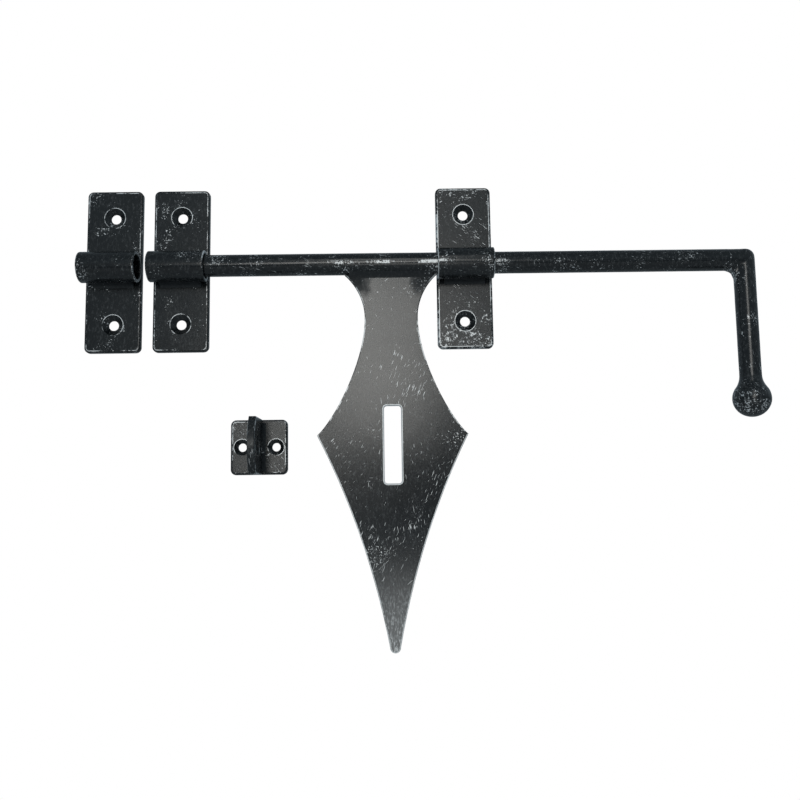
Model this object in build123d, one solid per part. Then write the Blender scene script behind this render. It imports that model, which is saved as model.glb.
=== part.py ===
from build123d import *
import math
import os

# A forged-style sliding door bolt. A round rod slides in two guide tubes and enters a keeper tube. A spear-shaped
# leaf and a knobbed handle are welded to it, and the leaf's slot drops over the lug of a staple for a padlock.
#
# Millimetres. The door's face is the plane y = 0 and everything stands in front of it, towards -Y. X runs along
# the bolt, away from the keeper, and Z is up. The origin is the centre of the left guide's back face, behind the
# bolt's axis.

# Rod
ROD_DIAMETER = 12.0
TIP_SETBACK = 2.5  # from the left guide's outer mouth to the rod's free end
TIP_CHAMFER = 1.0
TURN_CLEARANCE = 0.05  # between the rod and what turns about its axis

# Guide and keeper plates
PLATE_WIDTH = 31.0
PLATE_HEIGHT = 92.0
PLATE_THICKNESS = 3.0
PLATE_CORNER = 3.0
PLATE_EDGE = 1.0  # rounding round the front face
SCREW_SPACING = 61.0
SCREW_HOLE = 5.5
SCREW_HEAD = 11.4
HEAD_ANGLE = 100.0
GUIDE_SPACING = 158.0
KEEPER_GAP = 6.5  # between the keeper's plate and the left guide's

# Guide and keeper tubes
BORE_CLEARANCE = 0.75  # radial, round the rod
TUBE_WALL = 1.75
TUBE_RIM = 0.4  # rounding of each end

# Fillet welds between a tube and its plate
BEAD_ROOT = 3.0  # from the line where tube and plate touch
BEAD_FOOT = 2.1  # on the plate, beyond the tube's side
BEAD_RISE = 4.9  # on the tube, above the plate
BEAD_END_ROOM = 0.5  # from a bead's end to the plate's side

# Leaf
LEAF_THICKNESS = 3.0
LEAF_TOP_WIDTH = 50.4
LEAF_NECK_WIDTH = 28.8
LEAF_NECK_DROP = 30.6  # below the bolt's axis, as every drop is
LEAF_WIDTH = 81.0
LEAF_WIDE_DROP = 94.0
LEAF_LENGTH = 207.9  # from the bolt's axis to the point
LEAF_POINT_RADIUS = 2.8
NECK_EASE = 22.5  # how far the flank keeps the neck's upright direction
SHOULDER_EASE = 9.0  # how far it keeps the shoulder's direction
SHOULDER_SLOPE = 1.1  # sideways run to drop at the shoulder
FLANK_HOLLOW = 4.2  # of the lower flank, off a straight line
LEAF_REST_GAP = 0.5  # to the right guide's tube when the bolt is drawn back
LEAF_BEAD_FOOT = 2.4
LEAF_BEAD_RISE = 2.4
LEAF_BEAD_END_ROOM = 2.5

# Staple
LUG_THICKNESS = 4.0
LUG_LENGTH = 30.0  # from top to bottom, and the plate is as long
LUG_SHOULDER = 22.5  # height above the staple's plate at the lug's ends
LUG_CROWN = 28.0  # and in its middle
LUG_EDGE = 0.4
SHACKLE_HOLE = 10.0
SHACKLE_ROOM = 1.0  # between the closed leaf's front and the hole
STAPLE_THICKNESS = 3.0
STAPLE_CORNER = 3.0
STAPLE_HOLE = 4.6
STAPLE_HEAD = 8.8
STAPLE_HEAD_ROOM = 1.05  # from a screw head to the lug's weld
STAPLE_SIDE_ROOM = 1.85  # from a screw head to the plate's side
STAPLE_BEAD = 1.8
STAPLE_DROP = 99.2
BOLT_THROW = 73.0  # travel that brings the slot over the lug

# Slot in the leaf
SLOT_SIDE_ROOM = 2.6
SLOT_END_ROOM = 5.8
SLOT_CORNER = 1.6
SLOT_EDGE = 0.4  # chamfer at both faces

# Handle
HANDLE_REACH = 153.4  # from the right guide's centre to the arm's axis
STUB_ROOM = 0.1  # from the elbow's weld to the joint with the rod
ARM_EASE = 0.2  # radius of the arm under the rod's
HEAD_ROUND = 4.9  # at the top of the arm, which is as high as the rod
KNOB_DROP = 76.95
KNOB_DOOR_GAP = 1.4
KNOB_FLARE = 11.0  # radius of the hollow between arm and knob
ELBOW_BEAD = 3.6
ELBOW_BEAD_WIDTH = 7.0

# Worked out from the driving dimensions
rod_radius = ROD_DIAMETER / 2
bore_radius = rod_radius + BORE_CLEARANCE
tube_radius = bore_radius + TUBE_WALL
axis_height = PLATE_THICKNESS + tube_radius
turn_radius = rod_radius + TURN_CLEARANCE

keeper_x = -(PLATE_WIDTH + KEEPER_GAP)
leaf_x = GUIDE_SPACING - PLATE_WIDTH / 2 - LEAF_REST_GAP - LEAF_TOP_WIDTH / 2
staple_x = leaf_x - BOLT_THROW
tip_x = -PLATE_WIDTH / 2 + TIP_SETBACK

arm_x = GUIDE_SPACING + HANDLE_REACH
arm_radius = rod_radius - ARM_EASE
joint_x = arm_x - arm_radius - ELBOW_BEAD - STUB_ROOM
knob_radius = axis_height - KNOB_DOOR_GAP
leaf_front = axis_height + LEAF_THICKNESS / 2
leaf_back = axis_height - LEAF_THICKNESS / 2
slot_width = LUG_THICKNESS + 2 * SLOT_SIDE_ROOM
slot_height = LUG_LENGTH + 2 * SLOT_END_ROOM
staple_spacing = LUG_THICKNESS + 2 * (STAPLE_BEAD + STAPLE_HEAD_ROOM) + STAPLE_HEAD
staple_width = staple_spacing + STAPLE_HEAD + 2 * STAPLE_SIDE_ROOM
shackle_height = leaf_front + SHACKLE_ROOM + SHACKLE_HOLE / 2


def from_door(height):
    """The upright plane that lies this far in front of the door, whose outlines are drawn in X and Z."""
    return Plane.XZ.offset(height)


def across(x):
    """The plane square to the bolt at x. Outlines on it are drawn in Y and Z."""
    return Plane.YZ.offset(x)


def rod_along(radius, x_start, x_end):
    """A round bar on the bolt's axis."""
    centre = Location((-axis_height, 0))
    return extrude(across(x_start) * centre * Circle(radius), x_end - x_start)


def screw_hole(x, z, thickness, hole, head):
    """What a countersunk screw's hole removes from a plate that lies on the door."""
    cone_depth = (head - hole) / 2 / math.tan(math.radians(HEAD_ANGLE / 2))
    land = thickness - cone_depth
    profile = Polyline((0, 0), (hole / 2, 0), (hole / 2, land), (head / 2, thickness), (0, thickness), close=True)
    cutter = revolve(Plane.XY * make_face(profile), Axis.Y)
    return Location((x, 0, z)) * mirror(cutter, Plane.XZ)


def plate(x, z, width, height, thickness, corner, hole_places, hole, head):
    """A plate on the door with rounded corners, a rounded front edge and countersunk holes."""
    outline = from_door(0) * Location((x, z)) * RectangleRounded(width, height, corner)
    body = extrude(outline, thickness)
    front = body.faces().sort_by(Axis.Y)[0]
    body = fillet(front.edges(), PLATE_EDGE)
    for hole_x, hole_z in hole_places:
        body -= screw_hole(hole_x, hole_z, thickness, hole, head)
    return body


def strap_plate(x):
    """The plate of a guide or of the keeper, with one screw above the tube and one below."""
    places = [(x, SCREW_SPACING / 2), (x, -SCREW_SPACING / 2)]
    return plate(x, 0, PLATE_WIDTH, PLATE_HEIGHT, PLATE_THICKNESS, PLATE_CORNER, places, SCREW_HOLE, SCREW_HEAD)


def strap_tube(x):
    """The tube that lies across a plate."""
    start = x - PLATE_WIDTH / 2
    end = x + PLATE_WIDTH / 2
    tube = rod_along(tube_radius, start, end) - rod_along(bore_radius, start, end)
    ends = tube.edges().filter_by(GeomType.CIRCLE)
    return fillet(ends, TUBE_RIM)


def strap_beads(x):
    """The fillet welds above and below a tube."""
    start = x - PLATE_WIDTH / 2 + BEAD_END_ROOM
    length = PLATE_WIDTH - 2 * BEAD_END_ROOM
    top = PLATE_THICKNESS + BEAD_RISE
    top_z = math.sqrt(tube_radius**2 - (axis_height - top) ** 2)
    foot = tube_radius + BEAD_FOOT
    outline = Polyline(
        (-PLATE_THICKNESS, BEAD_ROOT), (-PLATE_THICKNESS, foot), (-top, top_z), (-top, BEAD_ROOT), close=True
    )
    upper = extrude(across(start) * make_face(outline), length)
    upper -= rod_along(tube_radius, start, start + length)
    return Compound(children=[*upper.solids(), *mirror(upper, Plane.XY).solids()])


def bolt_rod():
    """The plain rod, from its free end to its joint with the handle."""
    rod = rod_along(rod_radius, tip_x, joint_x - TURN_CLEARANCE)
    tip = rod.edges().sort_by(Axis.X)[0]
    return chamfer(tip, TIP_CHAMFER)


def half_leaf_outline():
    """The leaf's right-hand edge from the rod down to its point, drawn from its centre line."""
    top = (LEAF_TOP_WIDTH / 2, -turn_radius)
    neck = (LEAF_NECK_WIDTH / 2, -LEAF_NECK_DROP)
    neck_handle = (neck[0], neck[1] - NECK_EASE)
    wide = (LEAF_WIDTH / 2, -LEAF_WIDE_DROP)
    wide_handle = (wide[0] - SHOULDER_SLOPE * SHOULDER_EASE, wide[1] + SHOULDER_EASE)
    point = (LEAF_POINT_RADIUS, -LEAF_LENGTH + LEAF_POINT_RADIUS)
    bottom = (0, -LEAF_LENGTH)
    rounding = math.sqrt(0.5) * LEAF_POINT_RADIUS
    return [
        Line((0, 0), (top[0], 0)),
        Line((top[0], 0), top),
        TangentArc(neck, top, tangent=(0, 1)),
        Bezier(neck, neck_handle, wide_handle, wide),
        SagittaArc(wide, point, -FLANK_HOLLOW),
        ThreePointArc(point, (rounding, point[1] - rounding), bottom),
    ]


def hasp_leaf():
    """The spear-shaped plate that hangs from the rod, with its slot for the staple's lug."""
    edges = half_leaf_outline()
    half = make_face(Wire(edges + [Line((0, -LEAF_LENGTH), (0, 0))]))
    outline = half + mirror(half, Plane.YZ)
    slot = Location((0, -STAPLE_DROP)) * RectangleRounded(slot_width, slot_height, SLOT_CORNER)
    leaf = extrude(from_door(leaf_back) * Location((leaf_x, 0)) * (outline - slot), LEAF_THICKNESS)
    leaf -= rod_along(turn_radius, leaf_x - LEAF_TOP_WIDTH, leaf_x + LEAF_TOP_WIDTH)
    return chamfer(leaf.faces().filter_by(Axis.Y).edges().filter_by(beside_slot), SLOT_EDGE)


def beside_slot(edge):
    """Whether an edge of the leaf belongs to its slot."""
    middle = edge.center()
    return abs(middle.X - leaf_x) <= slot_width / 2 and abs(middle.Z + STAPLE_DROP) <= slot_height / 2


def leaf_beads():
    """The fillet welds in front of and behind the leaf, along the rod."""
    length = LEAF_TOP_WIDTH - 2 * LEAF_BEAD_END_ROOM
    start = leaf_x - length / 2
    side = LEAF_THICKNESS / 2
    crest = side + LEAF_BEAD_RISE
    crest_z = -math.sqrt(turn_radius**2 - crest**2)
    foot_z = -turn_radius - LEAF_BEAD_FOOT
    centre = Location((-axis_height, 0))
    outline = Polyline((-side, 0), (-side, foot_z), (-crest, crest_z), (-crest, 0), close=True)
    front = extrude(across(start) * centre * make_face(outline), length)
    front -= rod_along(turn_radius, start, start + length)
    front = front.solids().sort_by(Axis.Z)[0]
    return Compound(children=[front, mirror(front, Plane.XZ.offset(axis_height))])


def handle():
    """The arm with its rounded head and knob, and the stub that carries the rod's line into it."""
    head_start = (arm_radius - HEAD_ROUND, rod_radius)
    head_end = (arm_radius, rod_radius - HEAD_ROUND)
    flare_x = arm_radius + KNOB_FLARE
    flare_drop = math.sqrt((knob_radius + KNOB_FLARE) ** 2 - flare_x**2)
    flare_z = -KNOB_DROP + flare_drop
    share = knob_radius / (knob_radius + KNOB_FLARE)
    knob_meet = (flare_x * share, -KNOB_DROP + flare_drop * share)
    knob_end = (0, -KNOB_DROP - knob_radius)
    profile = [
        Line((0, rod_radius), head_start),
        RadiusArc(head_start, head_end, HEAD_ROUND),
        Line(head_end, (arm_radius, flare_z)),
        TangentArc((arm_radius, flare_z), knob_meet, tangent=(0, -1)),
        ThreePointArc(knob_meet, (knob_radius, -KNOB_DROP), knob_end),
        Line(knob_end, (0, rod_radius)),
    ]
    arm = revolve(Plane.XZ * make_face(Wire(profile)), Axis.Z)
    arm = Location((arm_x, -axis_height, 0)) * arm
    return arm + rod_along(rod_radius, joint_x, arm_x)


def elbow_bead():
    """The weld that rounds the inside corner between the stub and the arm."""
    corner_x = arm_x - arm_radius
    side = (corner_x - ELBOW_BEAD, -rod_radius)
    foot = (corner_x, -rod_radius - ELBOW_BEAD)
    outline = [
        RadiusArc(side, foot, ELBOW_BEAD),
        Line(foot, (arm_x, foot[1])),
        Line((arm_x, foot[1]), (arm_x, 0)),
        Line((arm_x, 0), (side[0], 0)),
        Line((side[0], 0), side),
    ]
    back = from_door(axis_height - ELBOW_BEAD_WIDTH / 2)
    bead = extrude(back * make_face(Wire(outline)), ELBOW_BEAD_WIDTH)
    bead -= handle()
    return bead.solids().sort_by(Axis.Z)[0]


def staple_plate():
    """The small plate under the lug, with one screw at each side."""
    places = [(staple_x + side * staple_spacing / 2, -STAPLE_DROP) for side in (-1, 1)]
    return plate(
        staple_x, -STAPLE_DROP, staple_width, LUG_LENGTH, STAPLE_THICKNESS, STAPLE_CORNER, places,
        STAPLE_HOLE, STAPLE_HEAD,
    )


def staple_lug():
    """The upright lug with its crowned edge and its hole for a padlock's shackle."""
    end = LUG_LENGTH / 2
    base = -STAPLE_THICKNESS
    shoulder = base - LUG_SHOULDER
    crown = base - LUG_CROWN
    outline = [
        Line((base, -end), (shoulder, -end)),
        ThreePointArc((shoulder, -end), (crown, 0), (shoulder, end)),
        Line((shoulder, end), (base, end)),
        Line((base, end), (base, -end)),
    ]
    hole = Location((-shackle_height, 0)) * Circle(SHACKLE_HOLE / 2)
    face = make_face(Wire(outline)) - hole
    side = across(staple_x - LUG_THICKNESS / 2) * Location((0, -STAPLE_DROP))
    lug = extrude(side * face, LUG_THICKNESS)
    crown_edges = lug.edges().filter_by(lambda edge: edge.center().Y < shoulder).filter_by(GeomType.CIRCLE)
    return chamfer(crown_edges, LUG_EDGE)


def staple_beads():
    """The small fillet welds at both sides of the lug's foot."""
    beads = []
    for side in (-1, 1):
        face_x = staple_x + side * LUG_THICKNESS / 2
        outline = Polyline(
            (face_x, -STAPLE_THICKNESS),
            (face_x + side * STAPLE_BEAD, -STAPLE_THICKNESS),
            (face_x, -STAPLE_THICKNESS - STAPLE_BEAD),
            close=True,
        )
        low = -STAPLE_DROP - LUG_LENGTH / 2 + STAPLE_BEAD
        bead = extrude(Plane.XY.offset(low) * make_face(outline), LUG_LENGTH - 2 * STAPLE_BEAD, dir=(0, 0, 1))
        beads += bead.solids()
    return Compound(children=beads)


parts = {
    "bolt_rod": bolt_rod(),
    "hasp_leaf": hasp_leaf(),
    "leaf_welds": leaf_beads(),
    "handle": handle(),
    "elbow_weld": elbow_bead(),
    "staple_plate": staple_plate(),
    "staple_lug": staple_lug(),
    "staple_welds": staple_beads(),
}
for name, x in (("keeper", keeper_x), ("left_guide", 0), ("right_guide", GUIDE_SPACING)):
    parts[name + "_plate"] = strap_plate(x)
    parts[name + "_tube"] = strap_tube(x)
    parts[name + "_welds"] = strap_beads(x)

os.makedirs("parts", exist_ok=True)
for name, part in parts.items():
    export_step(part, f"parts/{name}.step")
    print(name, round(part.volume, 1))
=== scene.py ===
# %% [markdown]
# # A forged-style door bolt in black paint and rubbed silver
#
# This lesson dresses a finished mechanical model. The frame holds every part at its real size, in metres: X
# runs along the bolt, the door's face is the plane y = 0, everything stands in front of it towards -Y, and
# Z is up. The frame is never changed. Each piece made here takes the place of a plain part and rides on the
# same moving body.

# %% Load the frame
import math

import bmesh
import bpy
from mathutils import Matrix, Vector, noise


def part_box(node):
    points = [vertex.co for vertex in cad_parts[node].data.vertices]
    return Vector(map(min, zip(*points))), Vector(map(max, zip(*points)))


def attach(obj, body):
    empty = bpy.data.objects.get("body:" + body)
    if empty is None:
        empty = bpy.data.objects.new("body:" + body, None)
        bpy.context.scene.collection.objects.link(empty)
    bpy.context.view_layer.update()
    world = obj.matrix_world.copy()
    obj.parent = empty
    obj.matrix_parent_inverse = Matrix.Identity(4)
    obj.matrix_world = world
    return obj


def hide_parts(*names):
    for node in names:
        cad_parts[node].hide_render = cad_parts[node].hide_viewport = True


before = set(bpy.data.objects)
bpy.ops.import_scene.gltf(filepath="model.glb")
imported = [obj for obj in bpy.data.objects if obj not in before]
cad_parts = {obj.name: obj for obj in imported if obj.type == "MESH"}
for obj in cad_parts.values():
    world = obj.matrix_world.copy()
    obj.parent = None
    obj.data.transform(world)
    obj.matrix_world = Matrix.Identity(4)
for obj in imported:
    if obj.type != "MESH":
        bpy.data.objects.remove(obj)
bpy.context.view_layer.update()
MM = 0.001
print("parts in the frame:", len(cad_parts))

# %% [markdown]
# ## Places read from the frame
# Later cells don't repeat a size that the frame can give. The box of a part says where it starts and ends,
# so the bolt's axis is the middle of the rod's box, and the knob's radius is half the width of the handle's
# box.

# %% Places
rod_low, rod_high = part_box("bolt_rod")
AXIS = Vector((0, (rod_low.y + rod_high.y) / 2, (rod_low.z + rod_high.z) / 2))
ROD_RADIUS = (rod_high.z - rod_low.z) / 2
leaf_low, leaf_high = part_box("hasp_leaf")
LEAF_X = (leaf_low.x + leaf_high.x) / 2
handle_low, handle_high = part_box("handle")
KNOB_RADIUS = (handle_high.y - handle_low.y) / 2
ARM_X = handle_high.x - KNOB_RADIUS
ARM_RADIUS = ROD_RADIUS - 0.2 * MM
STRAPS = ("keeper", "left_guide", "right_guide")
print("axis stands", round(-AXIS.y / MM, 2), "mm off the door, knob radius", round(KNOB_RADIUS / MM, 2))

# %% [markdown]
# ## Wear
# Silver was rubbed over the black paint, and it stays where a cloth presses hardest: on roundings and
# arrises. Each piece keeps that as a number on its faces, called wear: high on the narrow border of a flat,
# where the silver makes a thin bright line, lower on the rounding beside it, and 0 elsewhere. It could be
# painted on by hand afterwards, but a number that is set while the piece is modelled lands on exactly the
# faces that were just made.

# %% Wear on faces
ROUNDING_WEAR = 0.4


def with_wear(bm):
    """Give a bmesh its wear number, before any face is picked, because a new number loses the picks."""
    if bm.faces.layers.float.get("wear") is None:
        bm.faces.layers.float.new("wear")
    return bm


def set_wear(bm, faces, amount):
    """Write the wear of these faces."""
    layer = bm.faces.layers.float["wear"]
    for face in faces:
        face[layer] = amount


def rounded(bm, edges, width, segments):
    """Round these edges and mark the roundings as lightly worn."""
    made = bmesh.ops.bevel(
        bm, geom=edges, offset=width, segments=segments, profile=0.5, affect="EDGES", material=-1,
        clamp_overlap=True,
    )
    set_wear(bm, made["faces"], ROUNDING_WEAR)


def worn_border(bm, faces, width, amount):
    """Cut a narrow border into a flat and mark it as worn."""
    made = bmesh.ops.inset_region(bm, faces=faces, thickness=width, use_even_offset=True)
    set_wear(bm, made["faces"], amount)


print("wear of a rounding:", ROUNDING_WEAR)

# %% [markdown]
# ## Dents
# No rolled or forged surface is quite true. A dent moves each vertex inwards along its normal, by a share
# that a smooth noise gives, so a long highlight breaks up and wanders. Moving inwards only keeps the piece
# within its real size. A sculpting brush could do the same by hand, but the noise gives the same dents on
# every run.

# %% Dent a surface
def dent(bm, depth, size, seed):
    """Push the surface inwards by up to depth, in soft dents of about this size."""
    bm.normal_update()
    shift = Vector((seed, 0, 0))
    for vert in bm.verts:
        share = 0.5 + 0.5 * noise.noise(vert.co / size + shift)
        vert.co -= vert.normal * depth * share


print("a dent's share at one point:", round(0.5 + 0.5 * noise.noise(Vector((0.3, 0.2, 0.1))), 3))

# %% [markdown]
# ## From bmesh to piece
# A bmesh is only a working copy. To be seen, it is written into a mesh, and an object holds the mesh. All
# faces are shaded smooth, and edges that turn by more than 40 degrees are marked sharp, so flats stay flat.
# The last calls put the piece on the body it rides on, give it its paint, and hide the plain parts it
# stands in for.

# %% Make a piece
SHARP_TURN = math.radians(40)


def as_object(bm, name):
    """Write a bmesh into a new object in the scene, and let go of the bmesh."""
    mesh = bpy.data.meshes.new(name)
    bm.to_mesh(mesh)
    bm.free()
    made = bpy.data.objects.new(name, mesh)
    bpy.context.scene.collection.objects.link(made)
    return made


def make_piece(bm, name, body, nodes, material):
    """Turn a bmesh into an object that rides on a body in place of some plain parts."""
    with_wear(bm).normal_update()
    for face in bm.faces:
        face.smooth = True
    for edge in bm.edges:
        edge.smooth = edge.calc_face_angle(0) < SHARP_TURN
    piece = as_object(bm, name)
    piece.data.materials.append(material)
    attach(piece, body)
    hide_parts(*nodes)
    piece.data.calc_loop_triangles()
    print(name, len(piece.data.loop_triangles), "triangles")


print("edges turn sharp at", round(math.degrees(SHARP_TURN)), "degrees")

# %% [markdown]
# ## Building node trees
# Materials are node trees, and a script that adds nodes one by one soon hides the idea behind the wiring.
# These helpers keep it readable: one adds any node and links or sets its inputs, and the others are the
# sums that the effects need. They could be written out each time, at five lines for each sum.

# %% Helpers for node trees
def node(tree, kind, inputs=None, **settings):
    """Add a node, set its properties, and link or set its inputs."""
    made = tree.nodes.new(kind)
    for key, value in settings.items():
        setattr(made, key, value)
    for key, value in (inputs or {}).items():
        if isinstance(value, bpy.types.NodeSocket):
            tree.links.new(value, made.inputs[key])
        else:
            made.inputs[key].default_value = value
    return made


def plus(tree, a, b):
    """a + b"""
    return node(tree, "ShaderNodeMath", {0: a, 1: b}, operation="ADD").outputs[0]


def times(tree, a, b):
    """a x b"""
    return node(tree, "ShaderNodeMath", {0: a, 1: b}, operation="MULTIPLY").outputs[0]


def larger(tree, a, b):
    """Whichever of a and b is larger."""
    return node(tree, "ShaderNodeMath", {0: a, 1: b}, operation="MAXIMUM").outputs[0]


def threshold(tree, value, low, high):
    """0 below low and 1 above high, smoothly between."""
    inputs = {"Value": value, "From Min": low, "From Max": high}
    return node(tree, "ShaderNodeMapRange", inputs, interpolation_type="SMOOTHSTEP").outputs["Result"]


def noise_value(tree, vector, scale, detail, roughness=0.5):
    """The value of a noise texture."""
    inputs = {"Vector": vector, "Scale": scale, "Detail": detail, "Roughness": roughness}
    return node(tree, "ShaderNodeTexNoise", inputs).outputs["Fac"]


def stretched(tree, vector, scale):
    """Coordinates with their own scale along each axis."""
    return node(tree, "ShaderNodeMapping", {"Vector": vector, "Scale": scale}).outputs[0]


print("node helpers ready for Blender", bpy.app.version_string)

# %% [markdown]
# ## Node groups: what the materials share
# Four effects appear on several parts, so each is a group that is built once and placed in a material with
# its own values. They work on Object coordinates, which are metres here, so a noise scale of 1000 makes
# marks about a millimetre across. A group has named inputs and puts out one mask or height.

# %% Start a group
FLOAT = "NodeSocketFloat"
VECTOR = "NodeSocketVector"


def new_group(name, inputs, output):
    """An empty shader group with these inputs and one float output."""
    tree = bpy.data.node_groups.new(name, "ShaderNodeTree")
    for label, kind, default in inputs:
        socket = tree.interface.new_socket(label, in_out="INPUT", socket_type=kind)
        if default is not None:
            socket.default_value = default
    tree.interface.new_socket(output, in_out="OUTPUT", socket_type=FLOAT)
    return tree, tree.nodes.new("NodeGroupInput").outputs, tree.nodes.new("NodeGroupOutput").inputs


def use_group(tree, group, inputs):
    """Place a group in a material and give back its output."""
    return node(tree, "ShaderNodeGroup", inputs, node_tree=group).outputs[0]


print("groups so far:", len(bpy.data.node_groups))

# %% [markdown]
# ## Specks
# On the real bolt, grains of silver sit on the paint's high spots. A fine noise is cut at a threshold to
# make the grains. A coarse noise is added before the cut, so the grains gather in patches, as they do under
# a cloth, and Cover moves the whole sum up or down. A second texture of dots would be more even, and would
# look printed.

# %% The specks group
PATCH_SHARE = 0.9
COVER_SHARE = 0.5
SPECK_CUT = (1.28, 1.40)
speck_inputs = [
    ("Vector", VECTOR, None), ("Grain scale", FLOAT, 1100.0),
    ("Patch scale", FLOAT, 90.0), ("Cover", FLOAT, 0.3),
]
speck_tree, given, result = new_group("Rubbed specks", speck_inputs, "Mask")
grains = noise_value(speck_tree, given["Vector"], given["Grain scale"], detail=3.0, roughness=0.6)
patches = noise_value(speck_tree, given["Vector"], given["Patch scale"], detail=3.0, roughness=0.6)
patch_level = times(speck_tree, patches, PATCH_SHARE)
level = plus(speck_tree, patch_level, times(speck_tree, given["Cover"], COVER_SHARE))
speck_tree.links.new(threshold(speck_tree, plus(speck_tree, grains, level), *SPECK_CUT), result["Mask"])
print("specks:", len(speck_tree.nodes), "nodes")

# %% [markdown]
# ## Strokes
# A rag or a wire brush also leaves fine scratches that run one way. The coordinates are turned by the
# stroke's angle, and then squeezed across it and stretched along it, so that a plain noise becomes short
# thin lines. Another noise says where they gather. Image textures of scratches could do it too, but they
# would repeat over the long leaf.

# %% The strokes group
STROKE_SCALE = (3000.0, 400.0, 210.0)
WHERE_SHARE = 0.45
STROKE_SHARE = 0.4
STROKE_CUT = (1.08, 1.15)
stroke_inputs = [
    ("Vector", VECTOR, None), ("Turn", FLOAT, 0.0), ("Cover", FLOAT, 0.3), ("Patch scale", FLOAT, 45.0),
]
stroke_tree, given, result = new_group("Fine strokes", stroke_inputs, "Mask")
turn_vector = node(stroke_tree, "ShaderNodeCombineXYZ", {"Y": given["Turn"]}).outputs[0]
turned = node(
    stroke_tree, "ShaderNodeVectorRotate", {"Vector": given["Vector"], "Rotation": turn_vector},
    rotation_type="EULER_XYZ",
).outputs[0]
lines = noise_value(stroke_tree, stretched(stroke_tree, turned, STROKE_SCALE), scale=1.0, detail=1.0)
where = noise_value(stroke_tree, turned, given["Patch scale"], detail=2.0, roughness=0.6)
where_level = times(stroke_tree, where, WHERE_SHARE)
level = plus(stroke_tree, where_level, times(stroke_tree, given["Cover"], STROKE_SHARE))
stroke_tree.links.new(threshold(stroke_tree, plus(stroke_tree, lines, level), *STROKE_CUT), result["Mask"])
print("strokes:", len(stroke_tree.nodes), "nodes")

# %% [markdown]
# ## Worn edge
# This group turns the wear number into silver. Wear alone would give a clean, drawn line, so it is added to
# a ragged noise and a broad one before the cut: the line breaks up, and whole stretches of it come and go.
# Faces with no wear are switched off by a second threshold, because the highest noise alone could reach the
# cut.

# %% The worn edge group
RAGGED_SHARE = 2.2
BROAD_SCALE = 60.0
EDGE_CUT = (3.55, 3.95)
edge_inputs = [
    ("Vector", VECTOR, None), ("Wear", FLOAT, 0.0),
    ("Cover", FLOAT, 0.5), ("Scale", FLOAT, 420.0),
]
edge_tree, given, result = new_group("Worn edge", edge_inputs, "Mask")
ragged = noise_value(edge_tree, given["Vector"], given["Scale"], detail=4.0, roughness=0.65)
broad = noise_value(edge_tree, given["Vector"], BROAD_SCALE, detail=1.0)
level = times(edge_tree, plus(edge_tree, ragged, broad), RAGGED_SHARE)
level = plus(edge_tree, plus(edge_tree, level, given["Cover"]), given["Wear"])
has_wear = threshold(edge_tree, given["Wear"], 0.0, 0.1)
edge_tree.links.new(times(edge_tree, threshold(edge_tree, level, *EDGE_CUT), has_wear), result["Mask"])
print("worn edge:", len(edge_tree.nodes), "nodes")

# %% [markdown]
# ## Paint grain
# Sprayed paint dries with a fine orange peel, and the hammered or rolled steel under it has broad, soft
# swells. Both are heights for a Bump node: they are far too shallow to model, and only bend the
# reflections.

# %% The paint grain group
SWELL_SCALE = 160.0
SWELL_HEIGHT = 5.0
grain_inputs = [("Vector", VECTOR, None), ("Fine scale", FLOAT, 900.0), ("Swell", FLOAT, 0.5)]
grain_tree, given, result = new_group("Paint grain", grain_inputs, "Height")
fine = noise_value(grain_tree, given["Vector"], given["Fine scale"], detail=3.0, roughness=0.55)
swells = noise_value(grain_tree, given["Vector"], SWELL_SCALE, detail=2.0)
swells = times(grain_tree, times(grain_tree, swells, given["Swell"]), SWELL_HEIGHT)
grain_tree.links.new(plus(grain_tree, fine, swells), result["Height"])
print("groups:", [tree.name for tree in bpy.data.node_groups])

# %% [markdown]
# ## Where the silver lies
# A material lays the effects over each other, and at each point the strongest one shows. Under them lies a
# thin mist, the silver dust that is left all over after rubbing. It is a noise with upright grain, and it
# is faint.

# %% Silver mask
MIST_SCALE = (900.0, 900.0, 450.0)
MIST_CUT = (0.48, 0.80)


def silver_mask(tree, place, cover, patch, edge, ragged, strokes, haze):
    """How much silver there is. Each stroke is (turn in degrees, cover)."""
    silver = use_group(tree, speck_tree, {"Vector": place, "Cover": cover, "Patch scale": patch})
    for turn, amount in strokes:
        marks = use_group(tree, stroke_tree, {"Vector": place, "Turn": math.radians(turn), "Cover": amount})
        silver = larger(tree, silver, marks)
    mist = noise_value(tree, stretched(tree, place, MIST_SCALE), scale=1.0, detail=4.0, roughness=0.75)
    silver = larger(tree, silver, times(tree, threshold(tree, mist, *MIST_CUT), haze))
    wear = node(tree, "ShaderNodeAttribute", attribute_name="wear").outputs["Fac"]
    edges = use_group(tree, edge_tree, {"Vector": place, "Wear": wear, "Cover": edge, "Scale": ragged})
    return larger(tree, silver, edges)


print("mist marks are about", round(1000 / MIST_SCALE[0], 1), "mm wide and twice as tall")

# %% [markdown]
# ## The paint
# Every surface is the same satin black paint over steel, with more or less silver on it. One function
# builds the material, and each part has its own amounts, because a rod is rubbed differently from a plate.
# The silver shows as a lighter colour, a metallic share and a rougher, duller gloss, so it catches light
# softly. The black itself drifts between two very dark tones, as thin and thick paint do.

# %% Build a rubbed paint
BLACK = (0.0030, 0.0042, 0.0052, 1)
SOOT = (0.0085, 0.0110, 0.0130, 1)
SILVER = (0.86, 0.87, 0.87, 1)
SILVER_METAL = 0.7
SILVER_ROUGHNESS = 0.42
DRIFT_ROUGHNESS = 0.06
SOOT_ROUGHNESS = 0.5
DRIFT_SCALE = 55.0


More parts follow.
